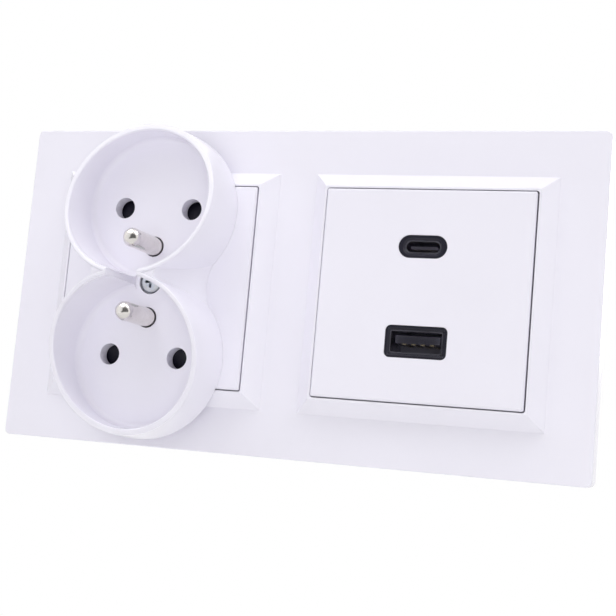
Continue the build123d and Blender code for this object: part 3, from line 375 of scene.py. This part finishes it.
# %% [markdown]
# ## Drawn lines
#
# Strip, wire and turned pins keep fine parallel lines from the rolls, the die or the lathe. A regular wave
# would look ruled; noise that is squeezed along one direction gives lines at uneven spacing, as the real
# ones are. Its inputs say how many lines fit in a metre each way.

# %% Group: drawn lines
PATCH_SCALE = 320.0

group, given, end = start_group(
    "drawn_lines",
    {"Across X": 1.0, "Across Y": 1.0, "Across Z": 1.0},
    {"Line": "Float", "Patch": "Float"},
)
where = put(group, "TexCoord").outputs["Object"]
parts = {"X": given["Across X"], "Y": given["Across Y"], "Z": given["Across Z"]}
squeeze = put(group, "CombineXYZ", parts).outputs["Vector"]
stretched = put(group, "VectorMath", {0: where, 1: squeeze}, operation="MULTIPLY").outputs["Vector"]
ragged = {"Vector": stretched, "Scale": 1.0, "Detail": 4.0, "Roughness": 0.65}
line = put(group, "TexNoise", ragged).outputs[0]
send(group, end, {"Line": line, "Patch": noise(group, where, PATCH_SCALE, detail=4.0)})
drawn_lines = group

# %% [markdown]
# ## Starting a finish
#
# Each material slot of the record names one finish, and several solids share it. These helpers make the
# material of a slot with its shader, place a shared effect in it, link what was worked out to the shader,
# and dress every solid of the slot with it.

# %% Helpers for finishes
finishes = {}
slot_of = {part["node"]: part["material_slot"] for part in frame["record"]["subparts"]}


def start_finish(slot, **constants):
    """Makes the material of a slot, with constant values set on the shader itself."""
    material = bpy.data.materials.new(slot)
    material.use_nodes = True
    tree = material.node_tree
    tree.nodes.clear()
    inputs = {name.replace("_", " "): value for name, value in constants.items()}
    shader = put(tree, "BsdfPrincipled", inputs)
    put(tree, "OutputMaterial", {"Surface": shader.outputs[0]})
    finishes[slot] = material
    return tree, shader


def use(tree, group, **values):
    """Places a shared effect in a material with its own values and returns its outputs."""
    node = tree.nodes.new("ShaderNodeGroup")
    node.node_tree = group
    for name, value in values.items():
        node.inputs[name.replace("_", " ")].default_value = value
    return node.outputs


def tint(tree, colour, tone):
    """Lightens or darkens a colour by a tone near 1, as a socket."""
    return blend_colours(tree, 1.0, colour, tone, "MULTIPLY")


def feed(tree, shader, colour, roughness, height, normal=None, depth=0.0001, strength=1.0):
    """Links what a finish worked out to its shader; the height goes through a Bump node over the edges."""
    tree.links.new(colour, shader.inputs["Base Color"])
    tree.links.new(roughness, shader.inputs["Roughness"])
    relief = {"Height": height, "Distance": depth, "Strength": strength}
    if normal is not None:
        relief["Normal"] = normal
    tree.links.new(put(tree, "Bump", relief).outputs["Normal"], shader.inputs["Normal"])


def dress(slot):
    """Gives the finish of a slot to every solid that the record lists under it."""
    worn = [name for name, its_slot in slot_of.items() if its_slot == slot]
    for name in worn:
        solids[name].data.materials.clear()
        solids[name].data.materials.append(finishes[slot])
    print(slot, "on", ", ".join(worn))


print(len(set(slot_of.values())), "finishes to make")

# %% [markdown]
# ## Moulded plastics
#
# The cover, the base and the charger's box are three plastics with their own colour, grain and gloss, but
# they are built alike: a tone that drifts, corners darkened with painted shade, soft edges and a grain.
# Three copies of the same nodes would hide what differs, so one helper builds them and each finish gives
# its own values.

# %% Helper for moulded plastics
PLASTIC_IOR = 1.5
ALL_NOISE = (0.0, 1.0)


def mould(slot, colour, shade, grain, drift, radius, reach, roughness, depth, strength, gloss=ALL_NOISE):
    """Makes a moulded plastic and dresses its slot; gloss is the stretch of noise that roughness spans."""
    tree, shader = start_finish(slot, IOR=PLASTIC_IOR)
    skin = use(tree, moulded_skin, Grain_Size=grain, Tone_Change=drift)
    edge = use(tree, soft_edge, Radius=radius)
    corner = use(tree, closed_corners, Reach=reach)
    # painted shade: closed corners and gaps are darkened towards the shade colour
    corner_shaded = blend_colours(tree, corner["Open"], shade, tint(tree, colour, skin["Tone"]))
    shine = spread(tree, skin["Gloss"], *roughness, *gloss)
    feed(tree, shader, corner_shaded, shine, skin["Height"], edge["Normal"], depth, strength)
    dress(slot)


print("plastic helper ready")

# %% [markdown]
# ## White cover plastic
#
# The frame and both inserts are glossy white plastic with a cool, faintly violet cast. A plain white would
# look like paper, so the tone drifts slightly, the gloss varies as on a handled moulding, and the gaps get
# a little painted shade. Only the middle of the noise drives the gloss: its rare peaks would show as
# specks.

# %% Finish: white cover plastic
COVER_WHITE = (0.912, 0.893, 0.980, 1.0)
COVER_SHADE = (0.84, 0.825, 0.90, 1.0)
MIDDLE_NOISE = (0.3, 0.7)

mould(
    "cover_plastic", COVER_WHITE, COVER_SHADE, grain=0.0011, drift=0.03, radius=0.0002, reach=0.0006,
    roughness=(0.22, 0.27), depth=0.00002, strength=0.25, gloss=MIDDLE_NOISE,
)

# %% [markdown]
# ## Grey base plastic
#
# Behind the covers the socket's base and the plates are pale grey plastic that must stand heat more than
# looks. It could be as glossy as the front, but such mouldings come from a spark-eroded mould, with a matt,
# sandy grain.

# %% Finish: grey base plastic
BASE_GREY = (0.56, 0.56, 0.54, 1.0)
BASE_SHADE = (0.36, 0.355, 0.335, 1.0)

mould(
    "base_plastic", BASE_GREY, BASE_SHADE, grain=0.0004, drift=0.12, radius=0.0003, reach=0.004,
    roughness=(0.42, 0.62), depth=0.00006, strength=0.6,
)

# %% [markdown]
# ## Grey charger housing
#
# The charger's box is a darker grey of the same kind, with a coarser grain. It could share the base's
# material, but the two come from different moulds, and the change of tone tells them apart from behind.

# %% Finish: grey housing plastic
HOUSING_GREY = (0.34, 0.35, 0.37, 1.0)
HOUSING_SHADE = (0.20, 0.205, 0.22, 1.0)

mould(
    "housing_plastic", HOUSING_GREY, HOUSING_SHADE, grain=0.00055, drift=0.14, radius=0.0003, reach=0.004,
    roughness=(0.45, 0.65), depth=0.00007, strength=0.6,
)

# %% [markdown]
# ## Black plastic
#
# The bezels, tongues and shutters are near black with a blue cast. Black plastic looks black only face on:
# its edges are rubbed by plugs and catch the light, so the edge mask lightens them, partly for that wear
# and partly as a painted highlight. The ports always stand open, and the closed-in places inside them are
# painted lighter, a painted light that brightens the dark slots, while the shutters stay plain. A second
# material could tell them apart, but the charger is on the +X side of the outlet, so the painted light is
# laid only there.

# %% Finish: black plastic
BLACK = (0.008, 0.0072, 0.0165, 1.0)
BLACK_EDGE = (0.022, 0.021, 0.036, 1.0)
BLACK_ROUGHNESS = (0.30, 0.42)
# painted light for the closed-in places inside the ports
PORT_PAINTED_LIGHT = (0.160, 0.155, 0.200, 1.0)
CHARGER_SIDE = (-0.001, 0.001)

tree, shader = start_finish("black_plastic", IOR=1.4)
skin = use(tree, moulded_skin, Grain_Size=0.0004, Tone_Change=0.5)
edge = use(tree, soft_edge, Radius=0.00015)
corner = use(tree, closed_corners, Reach=0.007)
# edges lightened: partly rubbed by plugs, partly a painted highlight
lightened_edges = blend_colours(tree, edge["Edge"], tint(tree, BLACK, skin["Tone"]), BLACK_EDGE)
where = put(tree, "TexCoord").outputs["Object"]
sideways = put(tree, "SeparateXYZ", {"Vector": where}).outputs["X"]
closed = maths(tree, "SUBTRACT", 1.0, corner["Open"])
# painted light: the closed-in places on the charger's side, inside the ports, are lightened
painted_light_share = maths(tree, "MULTIPLY", mask(tree, sideways, *CHARGER_SIDE), closed)
port_lit = blend_colours(tree, painted_light_share, lightened_edges, PORT_PAINTED_LIGHT)
shine = spread(tree, skin["Gloss"], *BLACK_ROUGHNESS)
feed(tree, shader, port_lit, shine, skin["Height"], edge["Normal"], depth=0.00003, strength=0.4)
dress("black_plastic")

# %% [markdown]
# ## Nickel-plated earth pins
#
# The pins are turned brass with a warm satin nickel skin. A plain mirror would look like chrome: the lathe
# leaves rings round the pin, so the lines lie across its length, which is along Y, and each plug that
# slides over them polishes patches.

# %% Finish: nickel pins
NICKEL = (0.83, 0.80, 0.775, 1.0)
NICKEL_DULL = (0.73, 0.70, 0.675, 1.0)
NICKEL_POLISHED = (0.35, 0.65)
NICKEL_ROUGHNESS = (0.10, 0.22)

tree, shader = start_finish("pin_nickel", Metallic=1.0)
lines = use(tree, drawn_lines, Across_X=60.0, Across_Y=9000.0, Across_Z=60.0)
edge = use(tree, soft_edge, Radius=0.0001)
worn = blend_colours(tree, mask(tree, lines["Patch"], *NICKEL_POLISHED), NICKEL_DULL, NICKEL)
shine = spread(tree, lines["Line"], *NICKEL_ROUGHNESS, *MIDDLE_NOISE)
feed(tree, shader, worn, shine, lines["Line"], edge["Normal"], depth=0.000006, strength=0.4)
dress("pin_nickel")

# %% [markdown]
# ## Zinc-plated screws
#
# Bright zinc with a clear blue passivation has a cold, slightly uneven shine, with a trace of yellow where
# the bath was thick. One grey metal would do for a far view, but the driver polishes the rims of the cross,
# and the bottom of the cross and other closed-in places get a near-black painted shade.

# %% Finish: zinc screws
ZINC_BLUE = (0.80, 0.85, 0.92, 1.0)
ZINC_WARM = (0.86, 0.85, 0.81, 1.0)
ZINC_BARE = (0.92, 0.94, 0.96, 1.0)
ZINC_PAINTED_SHADE = (0.06, 0.08, 0.12, 1.0)
ZINC_YELLOWED = (0.45, 0.75)
ZINC_ROUGHNESS = (0.34, 0.50)

tree, shader = start_finish("screw_zinc", Metallic=1.0)
lines = use(tree, drawn_lines, Across_X=2200.0, Across_Y=500.0, Across_Z=2200.0)
edge = use(tree, soft_edge, Radius=0.00012)
corner = use(tree, closed_corners, Reach=0.0008)
film = blend_colours(tree, mask(tree, lines["Patch"], *ZINC_YELLOWED), ZINC_BLUE, ZINC_WARM)
lightened_edges = blend_colours(tree, edge["Edge"], film, ZINC_BARE)
# painted shade: the bottom of the cross and other closed-in places are darkened
recess_shaded = blend_colours(tree, corner["Open"], ZINC_PAINTED_SHADE, lightened_edges)
shine = spread(tree, lines["Patch"], *ZINC_ROUGHNESS, *MIDDLE_NOISE)
feed(tree, shader, recess_shaded, shine, lines["Line"], edge["Normal"], depth=0.00001, strength=0.4)
dress("screw_zinc")

# %% [markdown]
# ## Galvanised sheet
#
# The brackets are stamped from galvanised sheet, with crystals a few millimetres wide and bright cut edges.
# The claws and their pins are smaller parts plated after bending, so their crystals are finer and duller.
# Both are the same nodes, so a loop makes them from their own values.

# %% Finish: galvanised brackets and claws
GALVANISED = {
    "bracket_steel": {
        "crystal": 0.0035,
        "bright": (0.70, 0.72, 0.74, 1.0),
        "dark": (0.50, 0.52, 0.545, 1.0),
        "roughness": (0.26, 0.46),
    },
    "claw_steel": {
        "crystal": 0.0012,
        "bright": (0.62, 0.63, 0.64, 1.0),
        "dark": (0.46, 0.47, 0.485, 1.0),
        "roughness": (0.32, 0.50),
    },
}
# painted shade for the corners of the sheet parts
SHEET_PAINTED_SHADE = (0.24, 0.24, 0.24, 1.0)

for slot, sheet in GALVANISED.items():
    tree, shader = start_finish(slot, Metallic=1.0)
    crystals = use(tree, zinc_crystals, Crystal_Size=sheet["crystal"])
    edge = use(tree, soft_edge, Radius=0.00015)
    corner = use(tree, closed_corners, Reach=0.003)
    toned = blend_colours(tree, crystals["Tone"], sheet["dark"], sheet["bright"])
    cut = blend_colours(tree, edge["Edge"], toned, ZINC_BARE)
    # painted shade: the corners of the brackets and claws are darkened
    sheet_shaded = blend_colours(tree, corner["Open"], SHEET_PAINTED_SHADE, cut)
    shine = spread(tree, crystals["Gloss"], *sheet["roughness"])
    feed(tree, shader, sheet_shaded, shine, crystals["Height"], edge["Normal"], depth=0.00001, strength=0.5)
    dress(slot)

# %% [markdown]
# ## Brass contacts
#
# The live strips are bare brass that has tarnished in patches, which one yellow metal wouldn't show. The
# strip was rolled along its length, which is along Z, so its lines run that way.

# %% Finish: brass contacts
BRASS = (0.72, 0.52, 0.22, 1.0)
BRASS_TARNISH = (0.40, 0.26, 0.11, 1.0)
BRASS_TARNISHED = (0.42, 0.72)
BRASS_ROUGHNESS = (0.20, 0.42)

tree, shader = start_finish("contact_brass", Metallic=1.0)
lines = use(tree, drawn_lines, Across_X=5000.0, Across_Y=5000.0, Across_Z=120.0)
edge = use(tree, soft_edge, Radius=0.00012)
worn = blend_colours(tree, mask(tree, lines["Patch"], *BRASS_TARNISHED), BRASS, BRASS_TARNISH)
shine = spread(tree, lines["Line"], *BRASS_ROUGHNESS, *MIDDLE_NOISE)
feed(tree, shader, worn, shine, lines["Line"], edge["Normal"], depth=0.000008, strength=0.5)
dress("contact_brass")

# %% [markdown]
# ## Gold-flashed port contacts
#
# The contacts in the ports carry a flash of gold. It is so thin that the nickel under it shows where plugs
# have rubbed. Patches would look like dirt, so the wear lies in streaks along the way that the plug goes,
# which is along Y.

# %% Finish: gold contacts
GOLD = (0.56, 0.47, 0.30, 1.0)
GOLD_RUBBED = (0.46, 0.44, 0.41, 1.0)
GOLD_STREAKS = (0.5, 0.8)
GOLD_ROUGHNESS = (0.18, 0.32)

tree, shader = start_finish("contact_gold", Metallic=1.0)
lines = use(tree, drawn_lines, Across_X=9000.0, Across_Y=300.0, Across_Z=9000.0)
edge = use(tree, soft_edge, Radius=0.00005)
worn = blend_colours(tree, mask(tree, lines["Line"], *GOLD_STREAKS), GOLD, GOLD_RUBBED)
shine = spread(tree, lines["Line"], *GOLD_ROUGHNESS, *MIDDLE_NOISE)
feed(tree, shader, worn, shine, lines["Line"], edge["Normal"], depth=0.000004, strength=0.4)
dress("contact_gold")

# %% [markdown]
# ## Steel shells and springs
#
# The shells of the ports are black nickel, so that the ports read as dark slots in the white face. The
# folded springs of the shutters are blued strip. Both are rolled, and differ only in tone and direction, so
# a loop makes them; deep inside, where they are closed in, the steel is painted pale, a painted light that
# brightens the dark insides.

# %% Finish: port shells and springs
ROLLED = {
    "shell_steel": {
        "light": (0.13, 0.128, 0.155, 1.0),
        "dark": (0.085, 0.083, 0.105, 1.0),
        "lines": {"Across_X": 4000.0, "Across_Y": 200.0, "Across_Z": 4000.0},
    },
    "spring_steel": {
        "light": (0.46, 0.46, 0.48, 1.0),
        "dark": (0.28, 0.29, 0.34, 1.0),
        "lines": {"Across_X": 6000.0, "Across_Y": 6000.0, "Across_Z": 300.0},
    },
}
INSIDE_PAINTED_LIGHT = (0.82, 0.80, 0.93, 1.0)
ROLLED_PALE = (0.35, 0.65)
ROLLED_ROUGHNESS = (0.26, 0.42)

for slot, strip in ROLLED.items():
    tree, shader = start_finish(slot, Metallic=1.0)
    lines = use(tree, drawn_lines, **strip["lines"])
    edge = use(tree, soft_edge, Radius=0.00008)
    corner = use(tree, closed_corners, Reach=0.003)
    worn = blend_colours(tree, mask(tree, lines["Patch"], *ROLLED_PALE), strip["dark"], strip["light"])
    # painted light: the closed-in places are painted pale
    bare_end_or_lit_inside = blend_colours(tree, corner["Open"], INSIDE_PAINTED_LIGHT, worn)
    shine = spread(tree, lines["Line"], *ROLLED_ROUGHNESS, *MIDDLE_NOISE)
    feed(tree, shader, bare_end_or_lit_inside, shine, lines["Line"], edge["Normal"], depth=0.000005, strength=0.4)
    dress(slot)

# %% [markdown]
# ## Circuit board
#
# The board is laminate under green solder mask, with copper tracks that show as a paler green. Drawing each
# track would be work that nobody sees behind the housing, so a Voronoi texture measured in square steps
# gives angular ones.

# %% Finish: circuit board
MASK_GREEN = (0.016, 0.105, 0.052, 1.0)
TRACK_GREEN = (0.035, 0.19, 0.085, 1.0)
TRACK_SCALE = 420.0
TRACK_RIM = (0.42, 0.46)
BOARD_ROUGHNESS = (0.22, 0.36)

tree, shader = start_finish("board_laminate", IOR=PLASTIC_IOR)
where = put(tree, "TexCoord").outputs["Object"]
steps = put(tree, "TexVoronoi", {"Vector": where, "Scale": TRACK_SCALE}, distance="MANHATTAN")
on_track = mask(tree, steps.outputs["Distance"], *TRACK_RIM)
skin = use(tree, moulded_skin, Grain_Size=0.0003, Tone_Change=0.2)
toned = tint(tree, blend_colours(tree, on_track, MASK_GREEN, TRACK_GREEN), skin["Tone"])
shine = spread(tree, skin["Gloss"], *BOARD_ROUGHNESS)
feed(tree, shader, toned, shine, on_track, depth=0.00003, strength=0.7)
dress("board_laminate")

# %% [markdown]
# ## Ferrite core
#
# The transformer's core is pressed and fired ferrite, matt and slightly pitted, and it chips at its edges.
# The pits could be modelled, but a coarse bump with the edge mask shows both.

# %% Finish: ferrite core
FERRITE = (0.040, 0.040, 0.044, 1.0)
FERRITE_CHIP = (0.10, 0.10, 0.11, 1.0)
FERRITE_ROUGHNESS = (0.5, 0.75)

tree, shader = start_finish("ferrite", IOR=1.6)
skin = use(tree, moulded_skin, Grain_Size=0.00025, Tone_Change=0.6)
edge = use(tree, soft_edge, Radius=0.0002)
chipped = blend_colours(tree, edge["Edge"], tint(tree, FERRITE, skin["Tone"]), FERRITE_CHIP)
shine = spread(tree, skin["Gloss"], *FERRITE_ROUGHNESS)
feed(tree, shader, chipped, shine, skin["Height"], edge["Normal"], depth=0.00008)
dress("ferrite")

# %% [markdown]
# ## Taped winding
#
# The winding sits under yellow tape that takes the shape of the turns. Modelling the wire would add many
# thousands of faces to a hidden part, so a wave texture along Y draws the turns as bands.

# %% Finish: taped winding
TAPE_DARK = (0.42, 0.22, 0.03, 1.0)
TAPE_LIGHT = (0.68, 0.44, 0.06, 1.0)
TAPE_ROUGHNESS = (0.22, 0.38)
TURN_SCALE = 260.0

tree, shader = start_finish("winding", IOR=PLASTIC_IOR)
where = put(tree, "TexCoord").outputs["Object"]
wave = {"Vector": where, "Scale": TURN_SCALE, "Distortion": 0.6, "Detail": 1.0}
turns = put(tree, "TexWave", wave, bands_direction="Y").outputs["Fac"]
skin = use(tree, moulded_skin, Grain_Size=0.0006, Tone_Change=0.25)
toned = tint(tree, blend_colours(tree, turns, TAPE_DARK, TAPE_LIGHT), skin["Tone"])
shine = spread(tree, skin["Gloss"], *TAPE_ROUGHNESS)
feed(tree, shader, toned, shine, turns, depth=0.00006, strength=0.6)
dress("winding")

# %% [markdown]
# ## Capacitor cans
#
# The capacitors are metal cans in a dark shrunk sleeve that leaves their ends bare. A second material on
# the end faces would do, but the direction of a face tells the same: what looks straight back is bare.

# %% Finish: capacitor cans
SLEEVE = (0.020, 0.024, 0.055, 1.0)
CAN = (0.66, 0.67, 0.68, 1.0)
CAN_ROUGHNESS = (0.24, 0.40)
FACING_BACK = (0.90, 0.97)

tree, shader = start_finish("capacitor_can")
facing = put(tree, "NewGeometry").outputs["Normal"]
bare_end_or_lit_inside = mask(tree, put(tree, "SeparateXYZ", {"Vector": facing}).outputs["Y"], *FACING_BACK)
skin = use(tree, moulded_skin, Grain_Size=0.0005, Tone_Change=0.4)
can = blend_colours(tree, bare_end_or_lit_inside, tint(tree, SLEEVE, skin["Tone"]), CAN)
tree.links.new(bare_end_or_lit_inside, shader.inputs["Metallic"])
shine = spread(tree, skin["Gloss"], *CAN_ROUGHNESS)
feed(tree, shader, can, shine, skin["Height"], depth=0.00004, strength=0.4)
dress("capacitor_can")

# %% [markdown]
# ## Smooth round walls
#
# A solid arrives as flat facets that remember the direction of the true surface at their corners. An angle
# could decide which edges to smooth, but the solid knows better: once every face is shaded smooth, round
# walls look round and true corners stay sharp.

# %% Smooth shading
for solid in solids.values():
    solid.data.polygons.foreach_set("use_smooth", [True] * len(solid.data.polygons))
print("facets", sum(len(solid.data.polygons) for solid in solids.values()))

# %% [markdown]
# ## Copies of the shutter springs
#
# When a plug pushes a shutter aside, the folds of its two springs close up. The solids of the springs stay
# as they are, and the shutter would cut through them. A simulation of the strip would be slow and unseen;
# here each pair is only replaced by its own copy of the mesh, which rides with the outlet, while the solid
# itself is hidden.

for side in ("upper", "lower"):
    node = side + "_shutter_springs"
    giving = bpy.data.objects.new(side + "_giving_springs", solids[node].data.copy())
    scene.collection.objects.link(giving)
    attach(giving, "outlet")
    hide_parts(node)
    low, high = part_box(node)
    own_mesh(giving)

# %% [markdown]
# ## Contact pads of the round-ended port
#
# The tongue of the round-ended port carries twelve flat gold pads on each side. They are thinner than a
# hair, so they aren't part of the solids; a bump could suggest them, but they are seen edge on in the slot,
# where only real pieces catch the light.

# %% Contact pads of the round-ended port
PAD_COUNT = 12
PAD_PITCH = 0.0005
PAD_WIDTH = 0.00026
PAD_LENGTH = 0.0038
PAD_THICKNESS = 0.00003
PAD_ROUNDING = 0.00001
PAD_SETBACK = 0.0005
TONGUE_HALF = 0.00035

low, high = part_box("usb_c_tongue")
middle = (low + high) / 2
along = low.y + PAD_SETBACK + PAD_LENGTH / 2
pads = bmesh.new()
for side in (-1, 1):
    up = middle.z + side * (TONGUE_HALF + PAD_THICKNESS / 2)
    for place in range(PAD_COUNT):
        across = middle.x + (place - (PAD_COUNT - 1) / 2) * PAD_PITCH
        made = bmesh.ops.create_cube(pads, size=1.0)["verts"]
        bmesh.ops.scale(pads, vec=(PAD_WIDTH, PAD_LENGTH, PAD_THICKNESS), verts=made)
        bmesh.ops.translate(pads, vec=(across, along, up), verts=made)
bmesh.ops.bevel(pads, geom=pads.edges[:], offset=PAD_ROUNDING, segments=1, affect="EDGES")
pad_mesh = bpy.data.meshes.new("usb_c_pads")
pads.to_mesh(pad_mesh)
pads.free()
usb_c_pads = bpy.data.objects.new("usb_c_pads", pad_mesh)
scene.collection.objects.link(usb_c_pads)
pad_mesh.materials.append(finishes["contact_gold"])
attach(usb_c_pads, "outlet")
print(2 * PAD_COUNT, "pads on the tongue")
